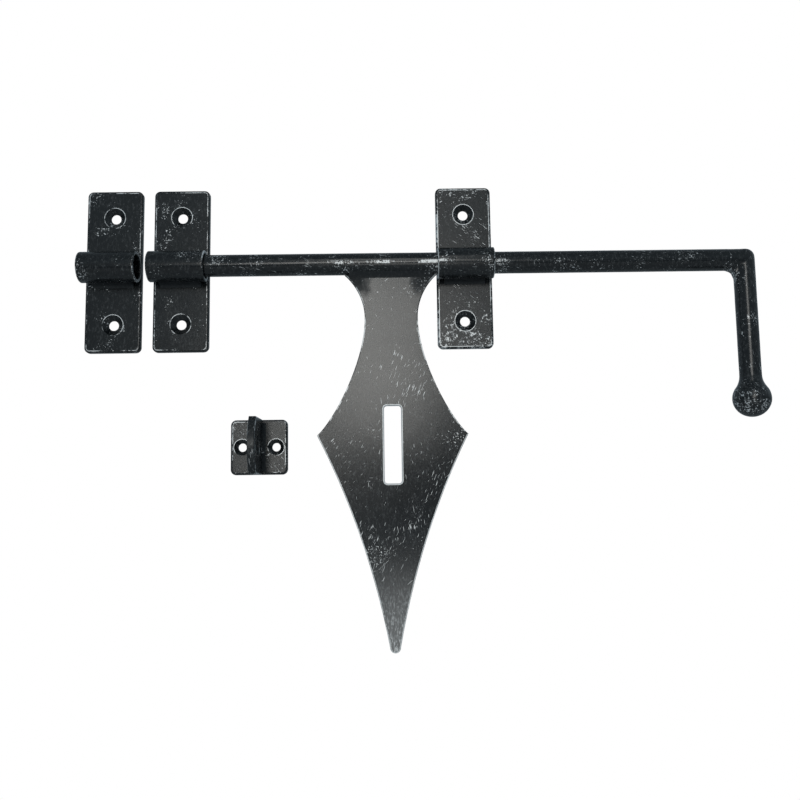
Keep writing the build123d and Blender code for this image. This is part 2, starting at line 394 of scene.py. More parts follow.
def rubbed_paint(
    name, cover, patch=90.0, edge=0.5, ragged=420.0, strokes=(), haze=0.12,
    gloss=0.24, grain=0.010, swell=0.5, tone=None, soot=None,
):
    """Black paint with rubbed silver. Gloss is its roughness, and grain is the height of its bumps in mm."""
    material = bpy.data.materials.new(name)
    material.use_nodes = True
    tree = material.node_tree
    shader = tree.nodes["Principled BSDF"]
    place = node(tree, "ShaderNodeTexCoord").outputs["Object"]
    silver = silver_mask(tree, place, cover, patch, edge, ragged, strokes, haze)
    if tone is not None:
        silver = tone(tree, place, silver)
    drift = noise_value(tree, place, DRIFT_SCALE, detail=4.0, roughness=0.6)
    paint = node(tree, "ShaderNodeMix", {0: drift, 6: BLACK, 7: SOOT}, data_type="RGBA").outputs[2]
    colour = node(tree, "ShaderNodeMix", {0: silver, 6: paint, 7: SILVER}, data_type="RGBA").outputs[2]
    tree.links.new(colour, shader.inputs["Base Color"])
    tree.links.new(times(tree, silver, SILVER_METAL), shader.inputs["Metallic"])
    span = {"Value": silver, "To Min": gloss, "To Max": SILVER_ROUGHNESS}
    dull = node(tree, "ShaderNodeMapRange", span, interpolation_type="LINEAR").outputs["Result"]
    rough = plus(tree, dull, times(tree, drift, DRIFT_ROUGHNESS))
    if soot is not None:
        rough = plus(tree, rough, times(tree, soot(tree, place), SOOT_ROUGHNESS))
    tree.links.new(rough, shader.inputs["Roughness"])
    height = use_group(tree, grain_tree, {"Vector": place, "Swell": swell})
    bump = node(tree, "ShaderNodeBump", {"Height": height, "Strength": 1.0, "Distance": grain * MM})
    tree.links.new(bump.outputs["Normal"], shader.inputs["Normal"])
    return material


print("paint reflects", round(100 * BLACK[1], 2), "to", round(100 * SOOT[1], 2), "percent under its gloss")

# %% [markdown]
# ## What is special in some places
# Two parts aren't rubbed evenly. The right guide's plate has more specks towards its foot. The leaf has
# brushed silver towards its point, over an even lift of silver that is a painted reflection, and its paint
# is dull in the two top corners, where the welding heat spoilt the gloss. Each of these reads the height or
# the distance from the leaf's middle straight from the Object coordinates. An own material for each zone
# would need a seam, and a threshold fades instead.

# %% Tones that change over a piece
FOOT_FADE = (-20 * MM, -45 * MM)
FOOT_COVER = 0.20
FOOT_GAIN = 0.35
TIP_FADE = (-155 * MM, leaf_low.z)
TIP_SILVER_AND_SHEEN = 0.85
FIBRE_SCALE = (1500.0, 400.0, 420.0)
FIBRE_CUT = (0.45, 0.75)
# An even lift of silver towards the leaf's point: a painted reflection under the brushed grain.
TIP_SHEEN_FLOOR = 0.2
ASIDE_FADE = (13 * MM, 21 * MM)
UPPER_FADE = (-17 * MM, -4 * MM)
CLOUD_SCALE = 220.0
CLOUD_REACH = 8 * MM


def up_down(tree, place):
    """The height of each point."""
    return node(tree, "ShaderNodeSeparateXYZ", {0: place}).outputs["Z"]


def rubbed_foot(tree, place, silver):
    """More specks towards a plate's lower end."""
    near = threshold(tree, up_down(tree, place), *FOOT_FADE)
    cover = plus(tree, times(tree, near, FOOT_GAIN), FOOT_COVER)
    inputs = {"Vector": place, "Cover": cover, "Grain scale": 1200.0, "Patch scale": 160.0}
    return larger(tree, silver, use_group(tree, speck_tree, inputs))


def brushed_tip_and_sheen(tree, place, silver):
    """More silver towards the leaf's point: upright brushed grain over an even, painted reflection."""
    near = threshold(tree, up_down(tree, place), *TIP_FADE)
    fibres = noise_value(tree, stretched(tree, place, FIBRE_SCALE), scale=1.0, detail=4.0, roughness=0.7)
    brushed = plus(tree, threshold(tree, fibres, *FIBRE_CUT), TIP_SHEEN_FLOOR)
    return larger(tree, silver, times(tree, times(tree, brushed, near), TIP_SILVER_AND_SHEEN))


def corner_soot(tree, place):
    """1 in the leaf's top corners and 0 elsewhere, with a cloudy border."""
    across = node(tree, "ShaderNodeSeparateXYZ", {0: place}).outputs["X"]
    offset = node(tree, "ShaderNodeMath", {0: across, 1: LEAF_X}, operation="SUBTRACT").outputs[0]
    aside = node(tree, "ShaderNodeMath", {0: offset}, operation="ABSOLUTE").outputs[0]
    cloud = times(tree, noise_value(tree, place, CLOUD_SCALE, detail=3.0), CLOUD_REACH)
    outer = threshold(tree, plus(tree, aside, cloud), *ASIDE_FADE)
    high = threshold(tree, plus(tree, up_down(tree, place), cloud), *UPPER_FADE)
    return times(tree, outer, high)


print("the leaf is brushed between z =", [round(z / MM) for z in TIP_FADE], "mm")

# %% [markdown]
# ## Paints of the flat parts
# The amounts below are the finish of each part. The keeper and the left guide have no strokes, the right
# guide and the staple were rubbed at a slant, and the leaf is the glossiest, with long thin scratches in
# three directions. Copies of one material with other colours would be harder to keep alike than one
# function with other amounts.

# %% Paints of the plates
dark_plate = rubbed_paint("dark plate paint", cover=0.31, edge=0.62, haze=0.11, gloss=0.21, grain=0.022)
bright_plate = rubbed_paint(
    "bright plate paint", cover=0.30, edge=0.80, haze=0.08, strokes=((55, 0.32),),
    grain=0.012, tone=rubbed_foot,
)
staple_paint = rubbed_paint(
    "staple plate paint", cover=0.33, edge=0.70, haze=0.17, strokes=((40, 0.36),), gloss=0.20, grain=0.012
)
lug_paint = rubbed_paint("lug paint", cover=0.34, edge=0.80, strokes=((0, 0.36),), grain=0.02)
leaf_paint = rubbed_paint(
    "leaf paint", cover=0.22, patch=45.0, edge=0.95, strokes=((-22, 0.30), (8, 0.26), (-48, 0.22)),
    haze=0.11, gloss=0.13, grain=0.005, tone=brushed_tip_and_sheen, soot=corner_soot,
)
print("leaf paint:", len(leaf_paint.node_tree.nodes), "nodes")

# %% [markdown]
# ## Paints of the round parts
# On a tube or a bar a cloth runs along the length, so the strokes are turned to match: nearly level on
# tubes and rod, and nearly upright on the handle's arm. Welds are the dullest and the roughest, since their
# crust holds the paint.

# %% Paints of the round parts and the welds
tube_paint = rubbed_paint(
    "tube paint", cover=0.36, patch=70.0, edge=0.60, ragged=900.0, strokes=((90, 0.25),),
    gloss=0.18, grain=0.014, swell=0.8,
)
rod_paint = rubbed_paint(
    "rod paint", cover=0.34, patch=60.0, edge=0.60, ragged=900.0, strokes=((75, 0.35),),
    gloss=0.14, grain=0.010,
)
handle_paint = rubbed_paint(
    "handle paint", cover=0.35, patch=80.0, strokes=((15, 0.30),), gloss=0.18, grain=0.013, swell=0.8
)
weld_paint = rubbed_paint("weld paint", cover=0.20, haze=0.06, grain=0.04, swell=1.0, gloss=0.34)
print("paints:", len(bpy.data.materials))

# %% [markdown]
# ## Turning a profile
# Countersinks, the rod and the arm are all solids of revolution, as if turned on a lathe. Half of the
# section is drawn as a line of points, from axis to axis, and the spin operator carries it once round. The
# spin closes on itself, the points that lie on the axis are merged into one, and the normals are made to
# point outwards.

# %% Spin a profile
MERGE = 0.002 * MM


def spun(profile, centre, axis, steps):
    """A solid of revolution. The profile's points are (out from the axis, along the axis)."""
    bm = with_wear(bmesh.new())
    side = Vector((1, 0, 0)) if abs(axis.x) < 0.5 else Vector((0, 0, 1))
    points = [bm.verts.new(centre + side * out + axis * along) for out, along in profile]
    for first, second in zip(points, points[1:]):
        bm.edges.new((first, second))
    outline = bm.verts[:] + bm.edges[:]
    bmesh.ops.spin(bm, geom=outline, cent=centre, axis=axis, angle=math.tau, steps=steps, use_merge=True)
    bmesh.ops.remove_doubles(bm, verts=bm.verts, dist=MERGE)
    bmesh.ops.recalc_face_normals(bm, faces=bm.faces)
    return bm


print("points closer than", MERGE / MM, "mm become one")

# %% [markdown]
# ## Cutting one shape out of another
# A hole could be built into the mesh by hand, but on a plate with rounded rims a cutter is simpler: a
# Boolean modifier takes the cutter's shape away, as the drill does. Modifiers work on objects, so both
# shapes become objects for a moment, the result is read back, and both are removed.

# %% Cut away
def after_modifiers(work):
    """The shape that an object's modifiers leave, as a bmesh."""
    left = bmesh.new()
    left.from_mesh(work.evaluated_get(bpy.context.evaluated_depsgraph_get()).to_mesh())
    return left


def discard(work):
    """Remove an object that was only needed for work, and its mesh."""
    mesh = work.data
    bpy.data.objects.remove(work)
    bpy.data.meshes.remove(mesh)


def cut_away(bm, cutter):
    """What is left of bm outside the cutter."""
    stock = as_object(bm, "work")
    drill = as_object(cutter, "work")
    boolean = stock.modifiers.new("cut", "BOOLEAN")
    boolean.object = drill
    boolean.solver = "EXACT"
    left = with_wear(after_modifiers(stock))
    discard(stock)
    discard(drill)
    bmesh.ops.remove_doubles(left, verts=left.verts, dist=MERGE)
    return left


# %% [markdown]
# ## A plate blank
# A plate is a length of rolled strip with rounded corners. A cube is scaled to the plate's own box, its
# four standing edges are rounded into corners, and then the front rim is rounded. The order matters: a rim
# that is rounded first would be cut up again by the corners.

# %% Blank plate
CORNER_RADIUS = 3.0 * MM
RIM_RADIUS = 1.0 * MM
NEARLY = 0.01 * MM


def blank_plate(low, high):
    """A rectangular plate with rounded corners and a rounded front rim."""
    bm = with_wear(bmesh.new())
    size = high - low
    place = Matrix.Translation((low + high) / 2) @ Matrix.Diagonal((size.x, size.y, size.z, 1))
    bmesh.ops.create_cube(bm, size=1, matrix=place)
    corners = [e for e in bm.edges if abs(e.verts[0].co.y - e.verts[1].co.y) > 0.5 * size.y]
    rounded(bm, corners, CORNER_RADIUS, segments=8)
    set_wear(bm, bm.faces, 0)
    rim = [e for e in bm.edges if max(v.co.y for v in e.verts) < low.y + NEARLY]
    rounded(bm, rim, RIM_RADIUS, segments=5)
    return bm


print("corner radius", CORNER_RADIUS / MM, "mm, rim radius", RIM_RADIUS / MM, "mm")

# %% [markdown]
# ## Countersunk holes
# A flat-headed screw needs a hole whose mouth opens in a cone, here with 100 degrees between its sides.
# Hole and cone are one spun cutter that sticks out a little at both ends, so that the Boolean never meets
# two faces in one plane. Only after the cut is the flat given its worn border, so the border also runs
# round the holes, where it shows as a bright ring.

# %% Plate with countersunk holes
SINK_SLOPE = math.tan(math.radians(50))
OVERSHOOT = 0.4 * MM
FLAT = 0.999
PLATE_BORDER = 0.35 * MM
PLATE_WEAR = 0.85
RING_WEAR = 1.05
RING_REACH = 0.6 * MM


def sink_cutter(foot, thickness, hole_radius, head_radius):
    """A drill and its cone in one, standing on the plate's back at foot and pointing to the front."""
    waist = (head_radius - hole_radius) / SINK_SLOPE
    profile = (
        (0, -OVERSHOOT), (hole_radius, -OVERSHOOT), (hole_radius, thickness - waist),
        (head_radius + OVERSHOOT * SINK_SLOPE, thickness + OVERSHOOT), (0, thickness + OVERSHOOT),
    )
    return spun(profile, foot, Vector((0, -1, 0)), steps=48)


def countersunk_plate(low, high, holes, hole_radius, head_radius):
    """A plate on the door with countersunk holes, a worn border and worn rings."""
    bm = blank_plate(low, high)
    for x, z in holes:
        bm = cut_away(bm, sink_cutter(Vector((x, high.y, z)), (high - low).y, hole_radius, head_radius))
    flat = [f for f in bm.faces if f.normal.y < -FLAT and f.calc_center_median().y < low.y + 5 * NEARLY]
    worn_border(bm, flat, PLATE_BORDER, PLATE_WEAR)
    layer = bm.faces.layers.float["wear"]
    border = [f for f in bm.faces if f[layer] > ROUNDING_WEAR + 0.1]
    for x, z in holes:
        reach = head_radius + RING_REACH
        ring = [f for f in border if (f.calc_center_median().xz - Vector((x, z))).length < reach]
        set_wear(bm, ring, RING_WEAR)
    return bm


print("the cone's half angle:", round(math.degrees(math.atan(SINK_SLOPE))), "degrees")

# %% [markdown]
# ## The four plates
# Keeper, left guide and right guide have the same plate with two screw holes, one above the other. The
# staple's plate is smaller, with its holes side by side. One loop makes the three, and the fourth has its
# own sizes.

# %% The four plates
SCREW_OFFSET = 30.5 * MM
plate_paints = {"keeper": dark_plate, "left_guide": dark_plate, "right_guide": bright_plate}
for strap in STRAPS:
    low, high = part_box(strap + "_plate")
    middle = (low.x + high.x) / 2
    holes = [(middle, SCREW_OFFSET), (middle, -SCREW_OFFSET)]
    bm = countersunk_plate(low, high, holes, hole_radius=2.75 * MM, head_radius=5.7 * MM)
    paint = plate_paints[strap]
    make_piece(bm, strap + "_plate_dressed", "door_fittings", [strap + "_plate"], paint)

STAPLE_SCREW_OFFSET = 9.25 * MM
low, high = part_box("staple_plate")
middle = (low + high) / 2
holes = [(middle.x - STAPLE_SCREW_OFFSET, middle.z), (middle.x + STAPLE_SCREW_OFFSET, middle.z)]
bm = countersunk_plate(low, high, holes, hole_radius=2.3 * MM, head_radius=4.4 * MM)
make_piece(bm, "staple_plate_dressed", "door_fittings", ["staple_plate"], staple_paint)

# %% [markdown]
# ## Tubes
# Each tube is a short length of pipe welded across its plate. Its wall is one small rectangle in section:
# the four corners are rounded, the long sides are divided, and the outline is spun round the bolt's axis.
# The divisions let the surface be dented by a few hundredths of a millimetre, which breaks up the long
# highlight as on real pipe. A Solidify modifier on a cylinder would give the wall too, but not the rounded
# rims.

# %% Helpers for round parts along the bolt
WALL = 1.75 * MM
PIPE_ROUNDING = 0.5 * MM
RIM_WEAR = 0.9
# Front strip on tubes and rod: partly rubbed wear, partly a painted highlight along the lamps' line.
PIPE_FRONT_SHEEN_AND_WEAR = 0.45
FRONT_SHEEN_STRIP = (-0.16, 0.08)


def paint_front_sheen_and_wear(bm, amount, start=-1.0, end=1.0):
    """Silver a round part's front strip between two places along the bolt: wear and painted highlight."""
    under, over = FRONT_SHEEN_STRIP
    front = [f for f in bm.faces if f.normal.y < 0 and under < f.normal.z < over]
    set_wear(bm, [f for f in front if start < f.calc_center_median().x < end], amount)


def pipe(low, high):
    """A tube along the bolt's axis with rounded rims."""
    bm = with_wear(bmesh.new())
    outer = (high.z - low.z) / 2
    inner = outer - WALL
    corners = [(low.x, inner), (high.x, inner), (high.x, outer), (low.x, outer)]
    bm.faces.new([bm.verts.new((x, AXIS.y, AXIS.z + radius)) for x, radius in corners])
    bmesh.ops.bevel(
        bm, geom=bm.verts[:], offset=PIPE_ROUNDING, segments=3, profile=0.5, affect="VERTICES", material=-1
    )
    bmesh.ops.delete(bm, geom=bm.faces[:], context="FACES_ONLY")
    long_sides = [e for e in bm.edges if e.calc_length() > 10 * MM]
    bmesh.ops.subdivide_edges(bm, edges=long_sides, cuts=28)
    outline = bm.verts[:] + bm.edges[:]
    bmesh.ops.spin(bm, geom=outline, cent=AXIS, axis=(1, 0, 0), angle=math.tau, steps=96, use_merge=True)
    bmesh.ops.remove_doubles(bm, verts=bm.verts, dist=MERGE)
    bmesh.ops.recalc_face_normals(bm, faces=bm.faces)
    middle = (inner + outer) / 2
    rims = [f for f in bm.faces if 0.2 < abs(f.normal.x) < 0.98]
    set_wear(bm, [f for f in rims if (f.calc_center_median() - AXIS).yz.length > middle], RIM_WEAR)
    # Painted highlight and wear along the tube's front.
    paint_front_sheen_and_wear(bm, PIPE_FRONT_SHEEN_AND_WEAR)
    return bm


print("tube walls are", WALL / MM, "mm thick")

# %% [markdown]
# ## The three tubes
# Keeper and guides have the same kind of tube at three places, so a loop makes them from their boxes. Each
# has its own seed for its dents, because three tubes with the same dents would look stamped.

# %% The three tubes
SEED_STEP = 7.3
for number, strap in enumerate(STRAPS):
    bm = pipe(*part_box(strap + "_tube"))
    dent(bm, depth=0.06 * MM, size=4 * MM, seed=number * SEED_STEP)
    make_piece(bm, strap + "_tube_dressed", "door_fittings", [strap + "_tube"], tube_paint)

# %% [markdown]
# ## Weld beads
# A fillet weld fills the corner between a tube and its plate. Its section is drawn once as a face with a
# hollow side, extruded along the joint, and its long edges are divided so that the surface can ripple like
# a laid bead. Beads could be sculpted one ripple at a time, but at this size nobody sees more than the
# broken light on them.

# %% Helpers for beads
RING_LENGTH = 0.7 * MM


def bead(section, along, ripple, seed):
    """A weld bead: a closed section of points, pushed along a vector and rippled."""
    bm = bmesh.new()
    start = bm.faces.new([bm.verts.new(point) for point in section])
    pushed = bmesh.ops.extrude_face_region(bm, geom=[start], use_keep_orig=True)
    far = [item for item in pushed["geom"] if isinstance(item, bmesh.types.BMVert)]
    bmesh.ops.translate(bm, verts=far, vec=along)
    bmesh.ops.remove_doubles(bm, verts=bm.verts, dist=MERGE)
    long_edges = [e for e in bm.edges if e.calc_length() > 0.9 * along.length]
    bmesh.ops.subdivide_edges(bm, edges=long_edges, cuts=int(along.length / RING_LENGTH), use_grid_fill=True)
    bmesh.ops.recalc_face_normals(bm, faces=bm.faces)
    dent(bm, ripple, 1.6 * MM, seed)
    return bm


def joined(parts):
    """Several bmeshes as one."""
    whole = bmesh.new()
    for part in parts:
        mesh = bpy.data.meshes.new("work")
        part.to_mesh(mesh)
        part.free()
        whole.from_mesh(mesh)
        bpy.data.meshes.remove(mesh)
    return whole


print("a bead is divided every", RING_LENGTH / MM, "mm")

# %% [markdown]
# ## Beads along the tubes
# Each tube has a bead above and one below, mirrored about the bolt's axis. They stop a little short of both
# ends, where a welder lifts the torch. Both beads of a tube are one piece, because they stand for one plain
# part.

# %% Beads along the tubes
BEAD_INSET = 3.5 * MM
# Each point: in front of the door (negative) and away from the bolt's axis, in millimetres.
strap_section = ((-3.0, 4.5), (-3.0, 9.9), (-3.8, 9.0), (-4.9, 8.3), (-6.8, 7.3), (-6.6, 6.0))
for strap in STRAPS:
    low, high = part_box(strap + "_welds")
    run = Vector((high.x - low.x - 2 * BEAD_INSET, 0, 0))
    beads = []
    for side in (1, -1):
        points = [Vector((low.x + BEAD_INSET, y * MM, side * z * MM)) for y, z in strap_section]
        beads.append(bead(points, run, ripple=0.25 * MM, seed=low.x / MM + side))
    make_piece(joined(beads), strap + "_bead", "door_fittings", [strap + "_welds"], weld_paint)

# %% [markdown]
# ## Smaller beads
# The leaf is welded to the underside of the bar on its front and on its back, and the lug is welded to its
# plate on both sides. These beads are only a few millimetres wide, so their ripples are about half as deep.

# %% Beads along the leaf and the lug
FINE_RIPPLE = 0.12 * MM
low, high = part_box("leaf_welds")
# Each point: away from the leaf's middle plane and below the bolt's axis, in millimetres.
leaf_section = ((1.4, -8.4), (2.0, -7.1), (3.85, -4.75), (3.0, -4.4), (1.2, -5.6))
beads = []
for side in (1, -1):
    points = [Vector((low.x, AXIS.y + side * y * MM, z * MM)) for y, z in leaf_section]
    beads.append(bead(points, Vector((high.x - low.x, 0, 0)), FINE_RIPPLE, seed=side * 3.1))
make_piece(joined(beads), "leaf_bead", "leaf_and_handle", ["leaf_welds"], weld_paint)

low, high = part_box("staple_welds")
lug_low, lug_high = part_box("staple_lug")
# Each point: out from the lug's side and in front of the door (negative), in millimetres.
lug_section = ((-0.5, -2.9), (1.75, -3.0), (0.7, -3.7), (0.0, -4.75), (-0.5, -4.6))
beads = []
for side, face in ((-1, lug_low.x), (1, lug_high.x)):
    points = [Vector((face + side * x * MM, y * MM, low.z)) for x, y in lug_section]
    beads.append(bead(points, Vector((0, 0, high.z - low.z)), FINE_RIPPLE, seed=side * 5.7))
make_piece(joined(beads), "lug_bead", "door_fittings", ["staple_welds"], weld_paint)

# %% [markdown]
# ## Lug
# The lug is a cut plate with a crowned edge and a hole for the padlock. Its outline is already exact in the
# frame, so its mesh is copied, its loose triangles are merged, and flat neighbours are dissolved into whole
# faces. Then its sharp edges can be rounded, and its flats given a worn border, as on the plates. Round the
# eye the wear is taken off again, as painted shade: the padlock eye's rim is kept black where it lies in
# shade.

# %% The lug
SHARP_ARRIS = math.radians(30)
SPECK_AREA = 1 * MM * MM
LUG_BORDER = 0.35 * MM
LUG_WEAR = 0.8
EYE_DEPTH = 19.0 * MM
EYE_SHADE_REACH = 6.5 * MM


def merged_copy(name):
    """A copy of a plain part as one welded surface with whole flat faces."""
    bm = bmesh.new()
    bm.from_mesh(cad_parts[name].data)
    with_wear(bm)
    bmesh.ops.remove_doubles(bm, verts=bm.verts, dist=MERGE)
    bmesh.ops.dissolve_limit(bm, angle_limit=math.radians(0.6), verts=bm.verts, edges=bm.edges)
    bm.normal_update()
    return bm


bm = merged_copy("staple_lug")
flats = [f for f in bm.faces if abs(f.normal.x) > FLAT]
arris = {e for f in flats for e in f.edges if e.calc_face_angle(0) > SHARP_ARRIS}
rounded(bm, list(arris), width=0.3 * MM, segments=2)
flats = [f for f in bm.faces if abs(f.normal.x) > FLAT and f.calc_area() > SPECK_AREA]
worn_border(bm, flats, LUG_BORDER, LUG_WEAR)
eye = Vector((0, -EYE_DEPTH, (lug_low.z + lug_high.z) / 2))
# No silver round the eye: painted shade.
set_wear(bm, [f for f in bm.faces if (f.calc_center_median() - eye).yz.length < EYE_SHADE_REACH], 0)
make_piece(bm, "lug_dressed", "door_fittings", ["staple_lug"], lug_paint)

# %% [markdown]
# ## Rod
# The rod is plain round bar. A strip along its front has silver in patches along its whole length, and
# most where it crosses the leaf's top: partly rubbed wear, partly a painted highlight along the lamps' line.
# One outline from its free end to its joint with the handle is spun round the axis.
# The outline is divided finely, so that shallow dents make its highlight wander.

# %% The rod
def bar(start, end, radius, chamfer):
    """A round bar along the bolt's axis with one chamfered end."""
    profile = [(0, 0), (radius - chamfer, 0), (radius, chamfer)]
    length = end - start
    steps = int(length / (1.5 * MM))
    profile += [(radius, chamfer + (length - chamfer) * i / steps) for i in range(1, steps + 1)]
    profile.append((0, length))
    return spun(profile, Vector((start, AXIS.y, AXIS.z)), Vector((1, 0, 0)), steps=64)


ROD_TIP_WEAR = 0.8
ROD_FRONT_SHEEN_AND_WEAR = 0.5
LEFT_STREAK_SHEEN_AND_WEAR = 0.65
RIGHT_STREAK_SHEEN_AND_WEAR = 0.90
bm = bar(rod_low.x, rod_high.x, ROD_RADIUS, 1.0 * MM)
set_wear(bm, [f for f in bm.faces if f.normal.x < -0.3], ROD_TIP_WEAR)
# Silver strips on the rod's front: partly rubbed wear, partly a painted highlight.
paint_front_sheen_and_wear(bm, ROD_FRONT_SHEEN_AND_WEAR)
paint_front_sheen_and_wear(bm, LEFT_STREAK_SHEEN_AND_WEAR, LEAF_X - 34 * MM, LEAF_X)
paint_front_sheen_and_wear(bm, RIGHT_STREAK_SHEEN_AND_WEAR, LEAF_X - 8 * MM, LEAF_X + 26 * MM)
dent(bm, depth=0.05 * MM, size=9 * MM, seed=2.2)
make_piece(bm, "rod_dressed", "sliding_rod", ["bolt_rod"], rod_paint)

# %% [markdown]
# ## Leaf
# The leaf is cut from 3 mm sheet. Its outline and slot come from the frame by a merged copy. Its front and
# back arrises are rounded below the rod, and each flat gets a worn border: the slot's rim and the lower
# flanks are rubbed brightest. The border also keeps the smooth shading of the roundings off the flats,
# which have to stay mirror-flat for their long, even reflections.

# %% The leaf
LEAF_ROUNDING = 0.4 * MM
SLOT_REACH = 5 * MM
FLANK_TOP = -95 * MM
SLOT_WEAR = 1.0
LEAF_WEAR = 0.55
FLANK_WEAR = 1.15
bm = merged_copy("hasp_leaf")
flats = [f for f in bm.faces if abs(f.normal.y) > FLAT]
arris = {e for f in flats for e in f.edges if e.calc_face_angle(0) > math.radians(60)}
arris = [e for e in arris if max(v.co.z for v in e.verts) < -ROD_RADIUS - 0.5 * MM]
rounded(bm, arris, LEAF_ROUNDING, segments=3)
roundings = [f for f in bm.faces if 0.2 < abs(f.normal.y) < 0.95]
set_wear(bm, [f for f in roundings if abs(f.calc_center_median().x - LEAF_X) < SLOT_REACH], SLOT_WEAR)
flats = [f for f in bm.faces if abs(f.normal.y) > FLAT and f.calc_area() > SPECK_AREA]
worn_border(bm, flats, LEAF_ROUNDING, LEAF_WEAR)
layer = bm.faces.layers.float["wear"]
worn = [f for f in bm.faces if f[layer] > LEAF_WEAR - 0.05]
set_wear(bm, [f for f in worn if f.calc_center_median().z < FLANK_TOP], FLANK_WEAR)
make_piece(bm, "leaf_dressed", "leaf_and_handle", ["hasp_leaf"], leaf_paint)

# %% [markdown]
# ## Handle: the two bars
# Arm, knob and stub were forged and welded into one. The arm with its domed head and knob is one spun
# outline of three arcs: the dome, a hollow flare that leads into the knob, and the knob itself. The flare
# touches the knob where their two circles meet, which gives its angle. The stub that runs into the rod is a
# plain bar, and a bead fills the inside corner of the elbow.

# %% The handle's parts
def arc(centre, radius, start, end, steps):
    """Points on an arc, with its angles in degrees."""
    angles = [math.radians(start + (end - start) * i / steps) for i in range(steps + 1)]
    return [(centre[0] + radius * math.cos(a), centre[1] + radius * math.sin(a)) for a in angles]


FLARE = 11.0 * MM
DOME = 4.9 * MM
knob_z = handle_low.z + KNOB_RADIUS
meet = math.degrees(math.acos((ARM_RADIUS + FLARE) / (KNOB_RADIUS + FLARE)))
flare_z = knob_z + (KNOB_RADIUS + FLARE) * math.sin(math.radians(meet))
profile = [(0, ROD_RADIUS)] + arc((ARM_RADIUS - DOME, ROD_RADIUS - DOME), DOME, 90, 0, 10)
profile += arc((ARM_RADIUS + FLARE, flare_z), FLARE, 180, 180 + meet, 8)
profile += arc((0, knob_z), KNOB_RADIUS, meet, -90, 24)[1:]
arm = spun(profile, Vector((ARM_X, AXIS.y, 0)), Vector((0, 0, 1)), steps=64)
stub_start = handle_low.x
stub = bar(stub_start - 3 * MM, ARM_X, ROD_RADIUS, 0.1 * MM)
corner = Vector((ARM_X - ARM_RADIUS, AXIS.y, AXIS.z - ROD_RADIUS))
# Each point: along the bolt and up, both from the elbow's inside corner, in millimetres.
fillet = [(1.5, 1.5), (-3.6, 1.5), (-3.6, 0.1), (-1.6, -0.45), (-0.45, -1.6), (0.1, -3.6), (1.5, -3.6)]
points = [corner + Vector((x * MM, -3.4 * MM, z * MM)) for x, z in fillet]
elbow = bead(points, Vector((0, 6.8 * MM, 0)), ripple=0.1 * MM, seed=1.0)
print("the flare meets the knob at", round(meet, 1), "degrees")

# %% [markdown]
# ## Handle: one skin
# A voxel remesh makes one skin of arm, stub and bead, and smoothing melts the inside corner of the elbow
# into the soft fillet of a dressed weld. A Boolean union would keep the hard line between the bars. The
# stub is made a little too long and cut at the joint, so that smoothing doesn't round the end that has to
# meet the rod.

# %% The handle
def one_skin(bm, voxel, smoothing):
    """Several closed shells as one even skin, with its corners softened."""
    work = as_object(bm, "work")
    remesh = work.modifiers.new("skin", "REMESH")
    remesh.mode = "VOXEL"
    remesh.voxel_size = voxel
    skin = after_modifiers(work)
    discard(work)
    for _ in range(smoothing):
        bmesh.ops.smooth_vert(
            skin, verts=skin.verts, factor=0.5, use_axis_x=True, use_axis_y=True, use_axis_z=True
        )
    return skin


bm = one_skin(joined([arm, stub, elbow]), voxel=0.4 * MM, smoothing=14)
everything = bm.verts[:] + bm.edges[:] + bm.faces[:]
bmesh.ops.bisect_plane(bm, geom=everything, plane_co=(stub_start, 0, 0), plane_no=(1, 0, 0), clear_inner=True)
bmesh.ops.holes_fill(bm, edges=[e for e in bm.edges if e.is_boundary], sides=0)
dent(bm, depth=0.08 * MM, size=5 * MM, seed=4.4)
make_piece(bm, "handle_dressed", "leaf_and_handle", ["handle", "elbow_weld"], handle_paint)

# %% [markdown]
# ## Camera
# The camera stands low in front of the leaf and looks slightly up at it. Its matrix is built from a place
# and three turns, so each one can be read by itself: a turn to the side, the tilt from looking down to
# looking ahead and a little up, and a slight lean.

# %% Camera
camera_data = bpy.data.cameras.new("camera")
camera_data.sensor_width = 36
camera_data.lens = 37.51
camera = bpy.data.objects.new("camera", camera_data)
bpy.context.scene.collection.objects.link(camera)
stand = Matrix.Translation(Vector((116.69, -458.12, -125.10)) * MM)
turn = Matrix.Rotation(math.radians(-0.545), 4, "Z")
tilt = Matrix.Rotation(math.radians(90 + 6.368), 4, "X")
lean = Matrix.Rotation(math.radians(-0.82), 4, "Z")
camera.matrix_world = stand @ turn @ tilt @ lean
bpy.context.scene.camera = camera
print("the camera sees", round(2 * math.degrees(math.atan(36 / 2 / camera_data.lens)), 1), "degrees")

# %% [markdown]
# ## The studio's walls
# Dark glossy metal is lit by what it mirrors, so the empty studio matters as much as the lamps. It is a
# ramp of cool greys from bottom to top: dark at the floor, a pale band just below eye level, a thin dark
# line above the band, and soft grey overhead. Round bars show that ramp as lines along them. A background
# of one grey would leave them flat. What stands behind the object is plain white, so the world is white to
# camera rays only.

